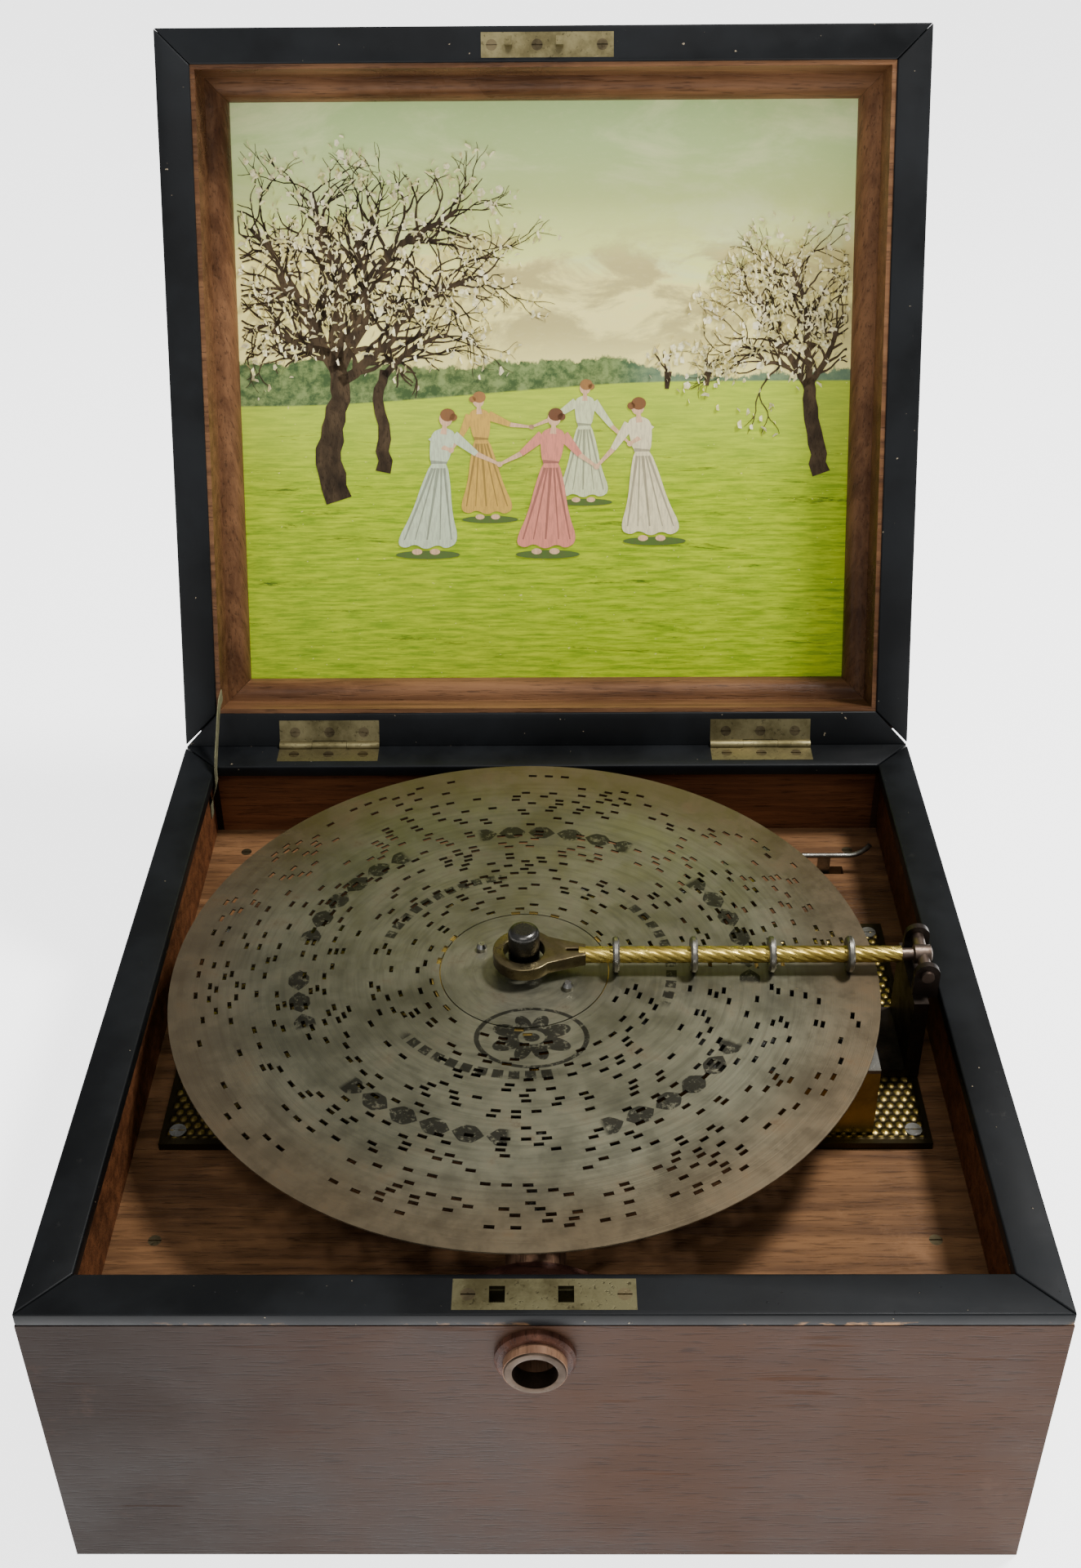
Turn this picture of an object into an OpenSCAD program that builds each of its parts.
// Wind-up disc music box with its lid open: case, spring motor, comb, disc, pressure bar and picture lid.
// Origin: middle of the case's underside. X to the right, Y to the back, Z up. Millimetres.

/* [Case] */
// Outside width of the case
case_w = 420; // [400:1:440]
// Outside depth of the case
case_d = 395; // [385:1:420]
// Height of the case without its lid
case_h = 167; // [160:1:180]
// Thickness of the case boards
wall_t = 16; // [14:0.5:17]
// Width of the ebonised rim
rim_w = 20; // [18:0.5:22]
// Thickness of the ebonised rim
rim_t = 7; // [6:0.5:9]
// Thickness of the bottom board
floor_t = 9; // [6:1:12]
// Distance from the rim down to the deck
deck_drop = 48; // [46:1:50]
// Thickness of the deck board
deck_t = 9; // [7:1:10]

/* [Lid] */
// Angle that the lid stands open
lid_open = 112.6; // [95:0.1:115]
// Width of the lid's ebonised face
lid_face_w = 18.7; // [17:0.1:20]
// Depth from the lid's face to its picture
lid_depth = 40; // [38:0.5:46]
// Thickness of the lid's top board
lid_panel_t = 9; // [7:0.5:12]
// Thickness of the picture board
picture_t = 3; // [2:0.5:4]
// Width of the moulding round the picture
moulding_w = 11.5; // [9:0.5:14]

/* [Disc] */
// Radius of the music disc
disc_r = 170; // [165:0.5:170]
// Thickness of the music disc
disc_t = 0.8; // [0.6:0.1:1]
// Height of the disc's top above the rim
disc_rise = 8; // [7:0.5:9]
// Offset of the disc's centre to the side
drive_x = -9.8; // [-12:0.1:-6]
// Offset of the disc's centre to the back
drive_y = -4; // [-6:0.1:0]

/* [Pressure bar] */
// Radius of the rollers
roller_r = 8.7; // [8:0.1:9]
// Radius of the twisted rod
rod_r = 4; // [3.5:0.1:4.5]
// Distance of the bar's hinge from the middle of the case
bar_hinge_x = 181; // [179:0.5:182]

/* [Motor] */
// Teeth of the great wheel on the spring barrel
great_teeth = 96; // [96]
// Teeth of the second arbor's pinion
second_pinion_teeth = 12; // [12]
// Teeth of the second wheel
second_teeth = 60; // [60]
// Teeth of the third arbor's pinion
third_pinion_teeth = 15; // [15]
// Teeth of the third wheel, which drives the worm
third_teeth = 30; // [30]
// Pegs of the winding wheel
winding_pegs = 44; // [44]
// Teeth of the winding shaft's pinion
winding_teeth = 13; // [13]

/* [Comb] */
// Number of star wheels and comb teeth
notes = 37; // [20:1:37]
// Distance from one note to the next
note_pitch = 3; // [2.8:0.1:3]

/* [Hidden] */
$fn = 64;

// levels, from the floor up
deck_z = case_h - deck_drop;
bed_t = 5;
bed_z = deck_z + bed_t;
disc_z = case_h + disc_rise;
rod_z = disc_z + roller_r + 0.2;
shaft_z = 141.5;

// case
half_w = case_w / 2;
half_d = case_d / 2;
in_x = half_w - wall_t;
in_y = half_d - wall_t;
board_h = case_h - rim_t;
cleat = [26, 340, 14];

// bedplate
bed_x = 182;
bed_y0 = -68;
bed_y1 = 90;

// winding
shaft_x = -3.3;
tube_r = 13;
bush_r = 16.5;
shaft_r = 4;
crank_r = 3.5;
block_w = 116;
block_t = 18;

// spring barrel and its arbor, both round the centre post
post_r = 4;
head_r = 7.5;
head_z = 171;
post_top = disc_z + 25;
arbor_r = 7;
run = 0.08;
barrel_r = 45;
barrel_wall = 2;
barrel_z = 149.8;
cover_z = 170;
great_t = 3;
pin_dx = 21;
pin_dy = -14;
pin_r = 2.6;
wheel_z = 128.5;
wheel_t = 3;
peg_circle = 22;
peg_r = 0.55;
peg_top = 135.2;
peg_angle = -acos((shaft_x - drive_x) / peg_circle);
pinion_y = drive_y + peg_circle * sin(peg_angle);

ratchet_teeth = 20;
click_pos = [drive_x + 19.5, drive_y + 12];
click_lift = 10;

// wheel train: pitch radii are half the tooth numbers, with a module of 1
mesh_gap = 0.15;
second_r = second_teeth / 2;
a_dist = great_teeth / 2 + second_pinion_teeth / 2 + mesh_gap;
a_pos = [drive_x, drive_y + a_dist];
b_angle = 20;
b_dist = second_r + third_pinion_teeth / 2 + mesh_gap;
b_pos = a_pos + b_dist * [cos(b_angle), sin(b_angle)];
second_z = 142;
third_z = 149;
arbor_thin = 2;
bridge_z = 158;
bridge_feet = [[-47, 60], [52, 46]];

// governor
worm_r = 4.6;
worm_core = 3.4;
worm_lead = 2 * PI;
worm_len = 16;
worm_y = b_pos[1] + third_teeth / 2 + 5;
worm_z = third_z + 2;
worm_x = b_pos[0];
spindle_r = 1.5;
fan_x = 74;
fan_len = 24;
fan_r = 14;
cock_x = [6, 108];

// star wheels and comb
star_r = 7;
star_z = disc_z - disc_t - star_r - 0.4;
star_x0 = 44;
star_t = 1.4;
gantry_x0 = 38.5;
gantry_x1 = 156.5;
comb_z = star_z - 4.5;
comb_tip_y = drive_y - star_r - 0.4;
comb_root_y = -42;
comb_back_y = -62;

// pressure bar
roller_x = [34.3, 71.6, 109, 146.4];
roller_w = 3.2;
eye_r = 15.2;
eye_hole = 10;
ear_y = [-15.5, 12.5];

// lid and its hinges
hinge_y = half_d + 0.6;
hinge_z = case_h + 0.15;
lid_gap = 0.3;
lid_z = case_h + lid_gap;
liner_t = 2.5;
knuckle_r = 2.8;
leaf_t = 1.6;
leaf_len = 58;
leaf_deep = 14.5;
hinge_x = [-126, 124.5];
knuckle_len = 20;
picture_z = lid_z + lid_depth;
panel_z = picture_z + picture_t;
frame_in_x = half_w - lid_face_w;
frame_in_y = half_d - lid_face_w;
liner_in_x = frame_in_x - liner_t;
liner_in_y = frame_in_y - liner_t;

// lock on the front rim, and the strike that meets it
lock_x0 = -36.3;
lock_x1 = 37.3;
lock_y = -187.6;
lock_w = 15;
slot_x = [-18.4, 9.2];
slot_size = [6.4, 8];

// start and stop lever
lever_y = 141;
lever_z = deck_z + 11;
lever_r = 1.5;
slot_lever_x = [146, 169];

// screws: [x, y, z of the head's top, head radius, shank radius, length]
deck_screws = [for (x = [-174, 174], y = [-121, 160]) [x, y, deck_z]];
lock_screws = [for (x = [-30, 32.6]) [x, lock_y, case_h]];
hinge_screws = [for (c = hinge_x, dx = [-20, 0, 20]) [c + dx, half_d - 7.5, case_h]];
strike_screws = [for (x = [-27.6, -3, 32.2]) [x, lock_y, lid_z]];
bed_screw_xy = [for (x = [-174, 174], y = [-60, 82]) [x, y]];
comb_screw_x = [for (i = [0:4]) 52 + i * 23.5];

module screw(head_r = 3, head_t = 1.2, shank_r = 1.4, length = 9) {
    difference() {
        union() {
            translate([0, 0, -head_t]) cylinder(r = head_r, h = head_t);
            translate([0, 0, -length]) cylinder(r = shank_r, h = length);
        }
        translate([-head_r, -0.35, -0.6]) cube([2 * head_r, 0.7, 1]);
    }
}

module screw_room(head_r = 3, head_t = 1.2, shank_r = 1.4, length = 9) {
    translate([0, 0, -head_t]) cylinder(r = head_r, h = head_t + 1);
    translate([0, 0, -length]) cylinder(r = shank_r, h = length);
}

// a toothed wheel's outline: straight-sided teeth, one of them centred on the angle phase
function tooth(n, i, phase, r, share) = [for (s = [-1, 1]) let (a = phase + (i + s * share / 2) * 360 / n)
    r * [cos(a), sin(a)]];
module toothed(n, phase, tip = 0.8, foot = 1.1) {
    rp = n / 2;
    polygon([for (i = [0:n - 1])
        let (f = tooth(n, i, phase, rp - foot, 0.5), t = tooth(n, i, phase, rp + tip, 0.22))
        each [f[0], t[0], t[1], f[1]]]);
}

module link2d(p, q, w) {
    d = q - p;
    translate(p) rotate(atan2(d[1], d[0])) translate([0, -w / 2]) square([norm(d), w]);
    for (c = [p, q]) translate(c) circle(w / 2);
}

// ---- case ----

module knuckle_room() {
    for (c = hinge_x) translate([c - leaf_len / 2 - 0.5, hinge_y, hinge_z]) rotate([0, 90, 0])
        cylinder(r = knuckle_r + 0.4, h = leaf_len + 1);
}

module case_front() color("saddlebrown") difference() {
    translate([-half_w, -half_d, 0]) cube([case_w, wall_t, board_h]);
    translate([shaft_x, -half_d - 1, shaft_z]) rotate([-90, 0, 0]) cylinder(r = bush_r - 2, h = wall_t + 2);
    translate([lock_x0 + 4, lock_y - 4.5, board_h - 3]) cube([lock_x1 - lock_x0 - 8, 9, 4]);
}

module case_back() color("saddlebrown") difference() {
    translate([-half_w, in_y, 0]) cube([case_w, wall_t, board_h]);
    knuckle_room();
}

module case_sides() color("saddlebrown") for (s = [-1, 1])
    translate([s > 0 ? in_x : -half_w, -in_y, 0]) cube([wall_t, 2 * in_y, board_h]);

module case_bottom() color("peru") translate([-in_x, -in_y, 0]) cube([2 * in_x, 2 * in_y, floor_t]);

module case_rim() color("#2b2d30") difference() {
    translate([-half_w, -half_d, board_h]) cube([case_w, case_d, rim_t]);
    translate([rim_w - half_w, rim_w - half_d, 0]) cube([case_w - 2 * rim_w, case_d - 2 * rim_w, 300]);
    translate([lock_x0, lock_y - lock_w / 2, case_h - 2]) cube([lock_x1 - lock_x0, lock_w, 3]);
    translate([lock_x0 + 4, lock_y - 4.5, board_h - 1]) cube([lock_x1 - lock_x0 - 8, 9, rim_t + 2]);
    for (p = lock_screws) translate(p) screw_room(length = 7);
    for (c = hinge_x) translate([c - leaf_len / 2, half_d - leaf_deep, case_h - leaf_t])
        cube([leaf_len, leaf_deep + 1, leaf_t + 1]);
    knuckle_room();
    for (p = hinge_screws) translate(p) screw_room(length = 6.5);
}

module deck_cleats() color("peru") difference() {
    for (s = [-1, 1]) translate([s > 0 ? in_x - cleat[0] : -in_x, -cleat[1] / 2,
            deck_z - deck_t - cleat[2]])
        cube(cleat);
    for (p = deck_screws) translate(p) screw_room(length = 15);
}

module motor_deck() color("sienna") difference() {
    translate([-in_x + 0.3, -in_y + 0.3, deck_z - deck_t]) cube([2 * in_x - 0.6, 2 * in_y - 0.6, deck_t]);
    translate([slot_lever_x[0], lever_y - 3, deck_z - deck_t - 1])
        cube([slot_lever_x[1] - slot_lever_x[0], 7, deck_t + 2]);
    for (p = deck_screws) translate(p) screw_room(length = 15);
    for (p = bed_screw_xy) translate([p[0], p[1], bed_z]) screw_room(4, 2, 2, 12);
    translate([drive_x, drive_y, deck_z - deck_t - 1]) cylinder(r = post_r + 4, h = deck_t + 2);
}

module case_screws() color("darkkhaki") {
    for (p = deck_screws) translate(p) screw(length = 15);
    for (p = lock_screws) translate(p) screw(length = 7);
    for (p = hinge_screws) translate(p) screw(length = 6.5);
}

module lock_plate() color("#5f5a3c") difference() {
    translate([lock_x0, lock_y - lock_w / 2, case_h - 2]) cube([lock_x1 - lock_x0, lock_w, 2]);
    for (x = slot_x) translate([x - slot_size[0] / 2, lock_y - slot_size[1] / 2, case_h - 3])
        cube([slot_size[0], slot_size[1], 5]);
    for (p = lock_screws) translate(p) screw_room(length = 7);
}

module lock_box() color("darkgoldenrod") difference() {
    translate([slot_x[0] - 8, lock_y - 4.4, board_h - 2.9]) cube([slot_x[1] - slot_x[0] + 16, 8.8,
            rim_t + 0.9]);
    for (x = slot_x) translate([x - slot_size[0] / 2, lock_y - 3.4,
            board_h - 1.9]) cube([slot_size[0], 6.8, 40]);
}

module winding_bush() color("#3a2a22") translate([shaft_x, -half_d, shaft_z]) rotate([90, 0,
        0]) difference() {
    union() {
        translate([0, 0, -8]) cylinder(r = bush_r - 2, h = 8);
        rotate_extrude() polygon([[tube_r, 0], [bush_r, 0], [bush_r, 2.5], [bush_r - 1.2, 4], [tube_r, 4]]);
    }
    translate([0, 0, -9]) cylinder(r = tube_r, h = 20);
}

module winding_tube() color("#8a8478") translate([shaft_x, -half_d - 8, shaft_z]) rotate([-90, 0, 0])
    difference() {
        cylinder(r = tube_r, h = 8 + half_d - 149);
        translate([0, 0, -1]) cylinder(r = tube_r - 2.5, h = 46);
        translate([0, 0, -1]) cylinder(r = shaft_r + run, h = 80);
    }

// a bell-shaped block behind the front board carries the winding tube
block_top = 157;
block_side = 136;
function bell(u) = block_side + (block_top - block_side) * (1 + cos(180 * u)) / 2;
module winder_block() color("#4a3226") difference() {
    translate([shaft_x, -in_y + block_t, 0]) rotate([90, 0, 0]) linear_extrude(block_t)
        polygon([[-block_w / 2, deck_z], [block_w / 2, deck_z],
                 for (i = [12:-1:-12]) [i * block_w / 24, bell(i / 12)]]);
    translate([shaft_x, -half_d, shaft_z]) rotate([-90, 0, 0]) cylinder(r = tube_r, h = 80);
}

// ---- bedplate and what stands on it ----

module bedplate() color("#8a7a2e") difference() {
    union() {
        translate([-bed_x, bed_y0, deck_z]) cube([2 * bed_x, bed_y1 - bed_y0, bed_t]);
        translate([click_pos[0], click_pos[1], bed_z - 1]) cylinder(r = 1.5, h = 5.5);
    }
    for (p = bed_screw_xy) translate([p[0], p[1], bed_z]) screw_room(4, 2, 2, 12);
    translate([drive_x, drive_y, deck_z - 1]) cylinder(r = post_r, h = bed_t + 2);
    for (p = [a_pos, b_pos]) translate([p[0], p[1], deck_z + 1]) cylinder(r = arbor_thin + 0.05, h = bed_t);
}

module bed_screws() color("lightgray") {
    for (p = bed_screw_xy) translate([p[0], p[1], bed_z]) screw(4, 2, 2, 12);
    for (x = comb_screw_x) translate([x, -54, comb_z + 4.4]) screw(3.6, 2.4, 2, 16);
}

// the winding shaft's inner bearing, under the great wheel
module shaft_bearing() color("goldenrod") difference() {
    union() {
        translate([shaft_x - 9, -46, bed_z]) cube([18, 8, 4]);
        translate([shaft_x - 6.5, -46, bed_z]) cube([13, 8, shaft_z - bed_z]);
        translate([shaft_x, -46, shaft_z]) rotate([-90, 0, 0]) cylinder(r = 6.5, h = 8);
    }
    translate([shaft_x, -50, shaft_z]) rotate([-90, 0, 0]) cylinder(r = shaft_r + run, h = 20);
}

module centre_post() color("#3c3c3c") translate([drive_x, drive_y, 0]) {
    translate([0, 0, deck_z]) cylinder(r = post_r, h = head_z - deck_z);
    translate([0, 0, deck_z - 4]) cylinder(r = post_r + 4, h = 4);
    rotate_extrude() polygon([[0, head_z], [head_r, head_z], [head_r, post_top - 3],
        for (i = [0:6]) [head_r - 3 + 3 * cos(i * 15), post_top - 3 + 3 * sin(i * 15)], [0, post_top]]);
}

module star_gantry() color("#4d4a45") difference() {
    union() {
        translate([gantry_x0, drive_y + 10, bed_z]) cube([gantry_x1 - gantry_x0, 14, 34]);
        for (x = [star_x0 - 3.5, gantry_x1 - 2.5]) translate([x, drive_y - 4, 150])
            cube([2, 16, star_z + 4 - 150]);
    }
    translate([0, drive_y, star_z]) rotate([0, 90, 0]) cylinder(r = 1.5, h = 200);
    translate([gantry_x0 - 1, drive_y + 9, bed_z - 1]) cube([3, 20, 50]);
}

module star_axle() color("silver") translate([star_x0 - 3.5, drive_y, star_z]) rotate([0, 90, 0])
    cylinder(r = 1.5, h = gantry_x1 - star_x0 + 3);

module comb() color("#9aa0a4") translate([0, 0, comb_z]) linear_extrude(2) difference() {
    union() {
        translate([star_x0 - 2.5, comb_back_y]) square([notes * note_pitch + 2, comb_root_y - comb_back_y]);
        for (i = [0:notes - 1]) translate([star_x0 + i * note_pitch - 1.1, comb_root_y - 1])
            square([2.2, comb_tip_y - comb_root_y + 1 - i * 0.02]);
    }
    for (x = comb_screw_x) translate([x, -54]) circle(r = 2);
}

module comb_base() color("#8a7a2e") difference() {
    translate([star_x0 - 2.5, comb_back_y, bed_z]) cube([notes * note_pitch + 2, 16, comb_z - bed_z]);
    for (x = comb_screw_x) translate([x, -54, comb_z - 12]) cylinder(r = 2, h = 20);
}

module damper_rail() color("goldenrod") {
    translate([star_x0 - 1, drive_y + 12, bed_z + 34]) cube([notes * note_pitch, 8, 3]);
    translate([0, 0, bed_z + 37]) linear_extrude(0.4) for (i = [0:notes - 1])
        translate([star_x0 + i * note_pitch - 0.6, drive_y + 8.2]) square([1.2, 11]);
}

module bar_bracket() color("#2f2c28") difference() {
    union() {
        translate([160.5, drive_y - 22, bed_z]) cube([21.5, 44, 5]);
        translate([175, drive_y - 22, bed_z]) cube([7, 44, rod_z - 12 - bed_z]);
        for (y = ear_y) translate([175, drive_y + y, rod_z - 14]) {
            cube([12, 3, 14]);
            translate([bar_hinge_x - 175, 0, 14]) rotate([-90, 0, 0]) cylinder(r = 6, h = 3);
        }
    }
    translate([bar_hinge_x, drive_y - 30, rod_z]) rotate([-90, 0, 0]) cylinder(r = 3.06, h = 60);
}

module strut(p, q) translate(p) rotate(atan2(q[1] - p[1], q[0] - p[0])) translate([0,
        -3.5]) square([norm(q - p), 7]);
module train_bridge() color("goldenrod") difference() {
    union() {
        translate([0, 0, bridge_z]) linear_extrude(3) {
            strut(bridge_feet[0], a_pos);
            strut(a_pos, b_pos);
            strut(b_pos, bridge_feet[1]);
        }
        for (p = concat(bridge_feet, [a_pos, b_pos])) translate([p[0], p[1],
                bridge_z - 0.5]) cylinder(r = 5.5, h = 4);
        for (p = bridge_feet) translate([p[0], p[1], bed_z]) cylinder(r = 4, h = bridge_z - bed_z + 1);
    }
    for (p = [a_pos, b_pos]) translate([p[0], p[1], bridge_z - 1]) cylinder(r = arbor_thin + 0.05, h = 6);
}

module governor_cock() color("goldenrod") difference() {
    for (x = cock_x) translate([x, worm_y - 5, bed_z]) cube([4, 10, worm_z + 5 - bed_z]);
    translate([0, worm_y, worm_z]) rotate([0, 90, 0]) cylinder(r = spindle_r + 0.05, h = 200);
}

module start_guide() color("silver") difference() {
    translate([122, lever_y - 4, deck_z]) cube([5, 8, lever_z + 4 - deck_z]);
    translate([120, lever_y, lever_z]) rotate([0, 90, 0]) cylinder(r = lever_r + 0.08, h = 10);
}

module case_hinge_leaves() color("#b5a160") for (c = hinge_x) difference() {
    union() {
        translate([c - leaf_len / 2, half_d - leaf_deep, case_h - leaf_t]) cube([leaf_len,
                leaf_deep, leaf_t]);
        translate([c - knuckle_len / 2, half_d - 4, case_h - leaf_t]) cube([knuckle_len, 5, leaf_t]);
        translate([c - knuckle_len / 2, hinge_y, hinge_z]) rotate([0, 90,
                0]) cylinder(r = knuckle_r, h = knuckle_len);
    }
    translate([c, hinge_y, hinge_z]) rotate([0, 90, 0]) cylinder(r = 1.1, h = 100, center = true);
    for (s = [-1, 1]) translate([c + s * (leaf_len / 4 + knuckle_len / 4 + 0.2), hinge_y,
            hinge_z]) rotate([0, 90, 0])
        cylinder(r = knuckle_r + 0.3, h = leaf_len / 2 - knuckle_len / 2, center = true);
    for (p = hinge_screws) translate(p) screw_room(length = 6.5);
}

module hinge_pins() color("#a08c50") for (c = hinge_x) translate([c, hinge_y, hinge_z]) rotate([0, 90, 0])
    cylinder(r = 1.1, h = leaf_len, center = true);

// ---- disc and spring motor ----

module music_disc() color("#5f5848") translate([drive_x, drive_y, disc_z - disc_t]) difference() {
    cylinder(r = disc_r, h = disc_t, $fn = 180);
    translate([0, 0, -1]) cylinder(r = head_r + 0.5, h = 4);
    for (s = [-1, 1]) translate([s * pin_dx, s * pin_dy, -1]) cylinder(r = pin_r, h = 4);
}

module spring_barrel() color("#b08d3c") translate([drive_x, drive_y, barrel_z]) difference() {
    union() {
        linear_extrude(great_t) toothed(great_teeth, 90);
        cylinder(r = barrel_r, h = cover_z - barrel_z);
    }
    translate([0, 0, 2]) cylinder(r = barrel_r - barrel_wall, h = 40);
    translate([0, 0, -1]) cylinder(r = arbor_r + run, h = 10);
}

module barrel_cover() color("#a8853a") translate([drive_x, drive_y, 0]) difference() {
    union() {
        translate([0, 0, cover_z]) cylinder(r = barrel_r, h = disc_z - disc_t - cover_z);
        translate([0, 0, cover_z - 4]) cylinder(r = arbor_r + 3, h = 5);
    }
    translate([0, 0, cover_z - 5]) cylinder(r = arbor_r + run, h = 5.7);
    translate([0, 0, cover_z + 0.6]) cylinder(r = head_r + 0.5, h = 10);
    for (s = [-1, 1]) translate([s * pin_dx, s * pin_dy, cover_z + 1]) cylinder(r = pin_r, h = 10);
}

module drive_pins() color("lightgray") for (s = [-1, 1])
    translate([drive_x + s * pin_dx, drive_y + s * pin_dy, cover_z + 1]) rotate_extrude()
        polygon([[0, 0], [pin_r, 0], [pin_r, disc_z + 2 - cover_z - 1], [pin_r - 1,
                disc_z + 4 - cover_z - 1],
                 [0, disc_z + 4 - cover_z - 1]]);

spring_turns = 6;
spring_t = 0.7;
spring_in = arbor_r + 4.5;
spring_out = barrel_r - barrel_wall - 1;
function coil(a, side) = let (r = spring_in + (spring_out - spring_in) * a / (360 * spring_turns)
        + side * spring_t / 2)
    r * [cos(a), sin(a)];
module mainspring() color("#5b6670") translate([drive_x, drive_y, barrel_z + 2.3])
    linear_extrude(cover_z - barrel_z - 7.3)
        polygon([for (a = [0:15:360 * spring_turns]) coil(a, 1),
                for (a = [360 * spring_turns:-15:0]) coil(a, -1)]);

module winding_arbor() color("#777c80") translate([drive_x, drive_y, 0]) difference() {
    union() {
        translate([0, 0, bed_z + 0.2]) cylinder(r = arbor_r, h = cover_z + 0.5 - bed_z - 0.2);
        translate([0, 0, bed_z + 1]) linear_extrude(3) polygon([for (i = [0:ratchet_teeth - 1], s = [0, 1])
            (15 - 2 * s) * [cos((i + 0.08 * s) * 360 / ratchet_teeth),
                    sin((i + 0.08 * s) * 360 / ratchet_teeth)]]);
    }
    translate([0, 0, bed_z]) cylinder(r = post_r + run, h = 60);
}

module winding_wheel() color("#b08d3c") translate([drive_x, drive_y, wheel_z]) {
    difference() {
        cylinder(r = peg_circle + 2, h = wheel_t);
        translate([0, 0, -1]) cylinder(r = arbor_r, h = 10);
        for (a = [0:60:300]) rotate(a) translate([13.5, 0, -1]) cylinder(r = 3.2, h = 10);
    }
    for (i = [0:winding_pegs - 1]) rotate(peg_angle
            + i * 360 / winding_pegs) translate([peg_circle, 0, wheel_t - 0.5])
        cylinder(r = peg_r, h = peg_top - wheel_z - wheel_t + 0.5, $fn = 16);
}

// the pawl is drawn lifted clear of the ratchet
module click() color("#777c80") translate([click_pos[0], click_pos[1],
        bed_z + 1]) rotate(click_lift) difference() {
    linear_extrude(3) {
        circle(r = 3.2);
        translate([drive_x, drive_y] - click_pos) polygon([[13.8, 0.9], [15.8, 0.6], [22.3, 10.6],
                [17, 13.6]]);
    }
    translate([0, 0, -1]) cylinder(r = 1.58, h = 10);
}

module winding_shaft() color("#8a8d90") translate([shaft_x, 0, shaft_z]) {
    difference() {
        union() {
            translate([0, -half_d + 2, 0]) rotate([-90, 0, 0]) cylinder(r = crank_r, h = 34);
            translate([0, -half_d + 36, 0]) rotate([-90, 0, 0]) cylinder(r = shaft_r,
                    h = pinion_y - 30 + half_d);
        }
        translate([-1, -half_d + 1, 2]) cube([2, 9, 4]);
    }
    translate([0, pinion_y + 2.5, 0]) rotate([90, 0, 0]) linear_extrude(5)
        toothed(winding_teeth, 270 + 180 / winding_teeth, tip = 1, foot = 1.3);
}

module second_wheel() color("#c2a045") translate([a_pos[0], a_pos[1], second_z]) difference() {
    linear_extrude(2.5) toothed(second_teeth, b_angle);
    translate([0, 0, -1]) cylinder(r = arbor_thin + 2, h = 10);
    for (a = [0:72:288]) rotate(a) translate([17, 0, -1]) cylinder(r = 6.5, h = 10);
}

module second_arbor() color("#8a8d90") translate([a_pos[0], a_pos[1], 0]) {
    translate([0, 0, deck_z + 1.2]) cylinder(r = arbor_thin, h = bridge_z + 2.6 - deck_z - 1.2);
    translate([0, 0, second_z]) cylinder(r = arbor_thin + 2, h = 4);
    translate([0, 0, barrel_z - 0.5]) linear_extrude(great_t + 1)
        toothed(second_pinion_teeth, 270 + 180 / second_pinion_teeth);
}

module third_wheel() color("#c2a045") translate([b_pos[0], b_pos[1], third_z]) difference() {
    linear_extrude(4) toothed(third_teeth, 90 + 180 / third_teeth, tip = 1, foot = 1.1);
    translate([0, 0, -1]) cylinder(r = arbor_thin + 2, h = 10);
}

module third_arbor() color("#8a8d90") translate([b_pos[0], b_pos[1], 0]) {
    translate([0, 0, deck_z + 1.2]) cylinder(r = arbor_thin, h = bridge_z + 2.6 - deck_z - 1.2);
    translate([0, 0, third_z - 0.8]) cylinder(r = arbor_thin + 2, h = 5.4);
    translate([0, 0, second_z - 0.7]) linear_extrude(4)
        toothed(third_pinion_teeth, b_angle + 180 + 180 / third_pinion_teeth);
}

worm_x0 = worm_x - worm_len / 2;
module governor_worm() color("#8a8d90") translate([0, worm_y, worm_z]) rotate([0, 90, 0]) {
    translate([0, 0, cock_x[0] - 1]) cylinder(r = spindle_r, h = cock_x[1] - cock_x[0] + 6);
    translate([0, 0, worm_x0]) linear_extrude(worm_len, twist = -360 * worm_len / worm_lead, slices = 40)
        rotate(-90 - 360 * (worm_x - worm_x0) / worm_lead)
            polygon([for (i = [0:11]) let (k = (i % 6 == 0) ? worm_r : worm_core) k * [cos(i * 30),
                    sin(i * 30)]]);
}

module governor_fan() color("#d0b060") translate([fan_x, worm_y, worm_z]) difference() {
    union() {
        rotate([0, 90, 0]) cylinder(r = 3, h = fan_len);
        translate([0, -0.4, -fan_r]) cube([fan_len, 0.8, 2 * fan_r]);
    }
    translate([-1, 0, 0]) rotate([0, 90, 0]) cylinder(r = spindle_r, h = fan_len + 2);
}

star_points = 8;
module star_wheels() color("#b9bcc0") for (i = [0:notes - 1])
    translate([star_x0 + i * note_pitch - star_t / 2, drive_y, star_z]) rotate([90, 0,
            90]) linear_extrude(star_t)
        difference() {
            polygon([for (k = [0:2 * star_points - 1]) (k % 2 == 0 ? star_r : star_r - 3)
                * [cos(90 + k * 180 / star_points), sin(90 + k * 180 / star_points)]]);
            circle(r = 1.56);
        }

// ---- pressure bar ----

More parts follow.
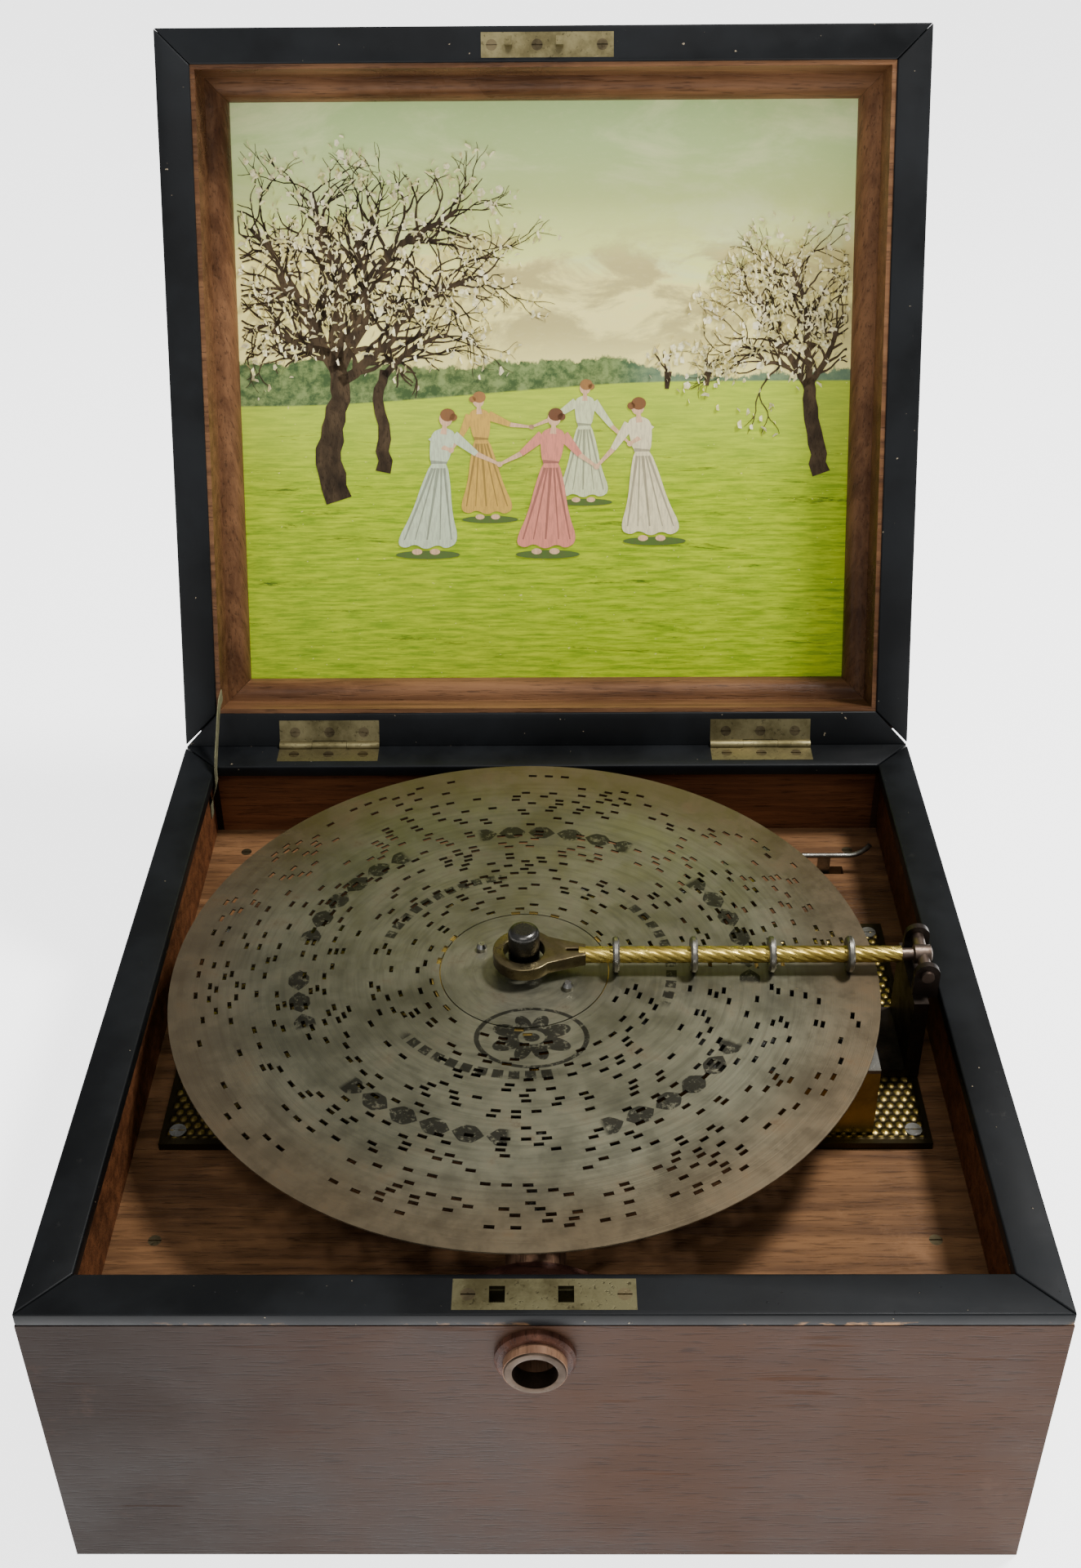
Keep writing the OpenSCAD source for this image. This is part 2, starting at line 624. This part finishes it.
module pressure_bar() color("#a89550") difference() {
    union() {
        translate([eye_r - 3, drive_y, rod_z]) rotate([0, 90, 0]) cylinder(r = rod_r,
                h = bar_hinge_x - 8 - eye_r + 3);
        translate([drive_x, drive_y, rod_z - 3.4]) cylinder(r = eye_r, h = 6.8);
        translate([drive_x + 8, drive_y - 6, rod_z - 3.4]) cube([22, 12, 6.8]);
        translate([bar_hinge_x - 12, drive_y, rod_z]) rotate([0, 90, 0]) cylinder(r = 3, h = 17);
        translate([bar_hinge_x, drive_y - 4, rod_z]) rotate([-90, 0, 0]) cylinder(r = 4.6, h = 8);
    }
    translate([drive_x, drive_y, rod_z - 10]) cylinder(r = eye_hole, h = 20);
    translate([bar_hinge_x, drive_y, rod_z]) rotate([90, 0, 0]) cylinder(r = 3, h = 60, center = true);
}

module bar_axle() color("#8b8580") translate([bar_hinge_x, drive_y - 17.5, rod_z]) rotate([-90, 0, 0])
    cylinder(r = 3, h = 35);

module roller(x) color("#8f9290") translate([x - roller_w / 2, drive_y, rod_z]) rotate([0, 90,
        0]) difference() {
    rotate_extrude() polygon([[0, 0], [roller_r - 0.8, 0], [roller_r, 0.8], [roller_r, roller_w - 0.8],
                              [roller_r - 0.8, roller_w], [0, roller_w]]);
    translate([0, 0, -1]) cylinder(r = rod_r + 0.06, h = 10);
}

module start_lever() color("#9a958a") {
    translate([98, lever_y, lever_z]) rotate([0, 90, 0]) cylinder(r = lever_r, h = 72);
    translate([170, lever_y, lever_z + 14]) rotate([90, 0, 0]) rotate([0, 0,
            -90]) rotate_extrude(angle = 62)
        translate([14, 0]) circle(r = lever_r);
    translate([154, lever_y - 1, deck_z - 10]) cube([7, 2, lever_z - deck_z + 10]);
    translate([100, worm_y + 11, lever_z - 1.5]) cube([3, lever_y - worm_y - 9.5, 3]);
    translate([100, worm_y + 11, lever_z - 1.5]) cube([3, 2.5, worm_z - lever_z - 4]);
}

// ---- lid: drawn shut, then turned open about its hinges ----

module opened() translate([0, hinge_y, hinge_z]) rotate([-lid_open, 0, 0]) translate([0, -hinge_y,
        -hinge_z]) children();

module lid_frame() color("#2b2d30") opened() difference() {
    translate([-half_w, -half_d, lid_z]) cube([case_w, case_d, panel_z - lid_z]);
    translate([-frame_in_x, -frame_in_y, lid_z - 1]) cube([2 * frame_in_x, 2 * frame_in_y, 100]);
    for (c = hinge_x) translate([c - leaf_len / 2, half_d - leaf_deep, lid_z - 1]) cube([leaf_len,
            leaf_deep + 1, leaf_t + 1]);
    knuckle_room();
    for (p = hinge_screws) translate([p[0], p[1], lid_z]) rotate([180, 0, 0]) screw_room(length = 9);
    translate([lock_x0 + 3, lock_y - 6.5, lid_z - 1]) cube([lock_x1 - lock_x0 - 2, 13, 2.6]);
    for (p = strike_screws) translate(p) rotate([180, 0, 0]) screw_room(length = 9);
}

module lid_panel() color("saddlebrown") opened() translate([-half_w, -half_d, panel_z])
    cube([case_w, case_d, lid_panel_t]);

module lid_liner() color("#6b4630") opened() difference() {
    translate([-frame_in_x, -frame_in_y, lid_z + 1]) cube([2 * frame_in_x, 2 * frame_in_y, lid_depth - 1]);
    translate([-liner_in_x, -liner_in_y, lid_z - 1]) cube([2 * liner_in_x, 2 * liner_in_y, 100]);
}

// the moulding's section: a rounded ridge that falls to the picture
module ovolo(length) rotate([90, 0, 0]) linear_extrude(length, center = true)
    polygon([[0, 0], for (i = [0:8]) [moulding_w * sin(i * 11.25), -12 * cos(i * 11.25)]]);
module lid_moulding() color("#7a5038") opened() for (q = [0:3]) {
    across = q % 2 == 0;
    reach = across ? liner_in_x : liner_in_y;
    length = 2 * (across ? liner_in_y : liner_in_x);
    rotate(q * 90) translate([-reach, 0, picture_z]) intersection() {
        ovolo(length);
        translate([0, 0, -20]) linear_extrude(40)
            polygon([[0, -length / 2], [moulding_w, moulding_w - length / 2], [moulding_w,
                    length / 2 - moulding_w],
                     [0, length / 2]]);
    }
}

module lid_picture() color("#a9b35c") opened() translate([-frame_in_x, -frame_in_y, picture_z])
    cube([2 * frame_in_x, 2 * frame_in_y, picture_t]);

module lid_hinge_leaves() color("#b5a160") opened() for (c = hinge_x) difference() {
    union() {
        translate([c - leaf_len / 2, half_d - leaf_deep, lid_z]) cube([leaf_len, leaf_deep, leaf_t]);
        for (s = [-1, 1]) translate([c + s * (leaf_len
                + knuckle_len) / 4 - (leaf_len - knuckle_len) / 4 + (s > 0 ? 0.2 : 0), 0, 0]) {
            translate([0, half_d - 4, lid_z]) cube([(leaf_len - knuckle_len) / 2 - 0.2, 5, leaf_t]);
            translate([0, hinge_y, hinge_z]) rotate([0, 90, 0]) cylinder(r = knuckle_r,
                    h = (leaf_len - knuckle_len) / 2 - 0.2);
        }
    }
    translate([c, hinge_y, hinge_z]) rotate([0, 90, 0]) cylinder(r = 1.16, h = 100, center = true);
    translate([c, hinge_y, hinge_z]) rotate([0, 90, 0]) cylinder(r = knuckle_r + 0.3,
            h = knuckle_len + 0.1, center = true);
    for (p = hinge_screws) translate([p[0], p[1], lid_z]) rotate([180, 0, 0]) screw_room(length = 9);
}

module lid_strike() color("#b5a160") opened() difference() {
    union() {
        translate([lock_x0 + 3, lock_y - 6.5, lid_z]) cube([lock_x1 - lock_x0 - 2, 13, 1.6]);
        for (x = slot_x) translate([x - 2, lock_y - 1.5, lid_z - 9]) cube([4, 3, 10]);
        for (x = slot_x) translate([x - 2, lock_y - 3, lid_z - 9]) cube([4, 3, 2.5]);
    }
    for (p = strike_screws) translate(p) rotate([180, 0, 0]) screw_room(length = 9);
}

module lid_screws() color("darkkhaki") opened() {
    for (p = hinge_screws) translate([p[0], p[1], lid_z]) rotate([180, 0, 0]) screw(length = 9);
    for (p = strike_screws) translate(p) rotate([180, 0, 0]) screw(length = 9);
}

// ribbon that stops the lid: from the lid's liner over the frame and the rim, down to the left board
ribbon_w = 8;
ribbon_t = 0.6;
ribbon_x = -liner_in_x + 0.2;
module stay_ribbon() color("#8f8a64") {
    translate([ribbon_x, 0, 0]) rotate([90, 0, 90]) linear_extrude(ribbon_t) {
        link2d([213, 193], [203, 193], ribbon_w);
        link2d([203, 193], [172, 169], ribbon_w);
        translate([168, 158]) square([ribbon_w, 11]);
    }
    translate([0, 176, 0]) rotate([90, 0, 0]) linear_extrude(ribbon_w)
        polygon([[ribbon_x, 158.5], [ribbon_x + ribbon_t, 158.5], [ribbon_x + ribbon_t, 157],
                 [1 - in_x, 147], [1 - in_x, 136], [0.4 - in_x, 136], [0.4 - in_x, 147.3],
                         [ribbon_x, 157.3]]);
}

case_front();
case_back();
case_sides();
case_bottom();
case_rim();
deck_cleats();
motor_deck();
case_screws();
lock_plate();
lock_box();
winding_bush();
winding_tube();
winder_block();
bedplate();
shaft_bearing();
bed_screws();
centre_post();
star_gantry();
star_axle();
comb();
comb_base();
damper_rail();
bar_bracket();
train_bridge();
governor_cock();
start_guide();
case_hinge_leaves();
hinge_pins();
music_disc();
spring_barrel();
barrel_cover();
drive_pins();
mainspring();
winding_arbor();
winding_wheel();
click();
winding_shaft();
second_wheel();
second_arbor();
third_wheel();
third_arbor();
governor_worm();
governor_fan();
star_wheels();
pressure_bar();
bar_axle();
roller(roller_x[0]);  // roller_1
roller(roller_x[1]);  // roller_2
roller(roller_x[2]);  // roller_3
roller(roller_x[3]);  // roller_4
start_lever();
lid_frame();
lid_panel();
lid_liner();
lid_moulding();
lid_picture();
lid_hinge_leaves();
lid_strike();
lid_screws();
stay_ribbon();
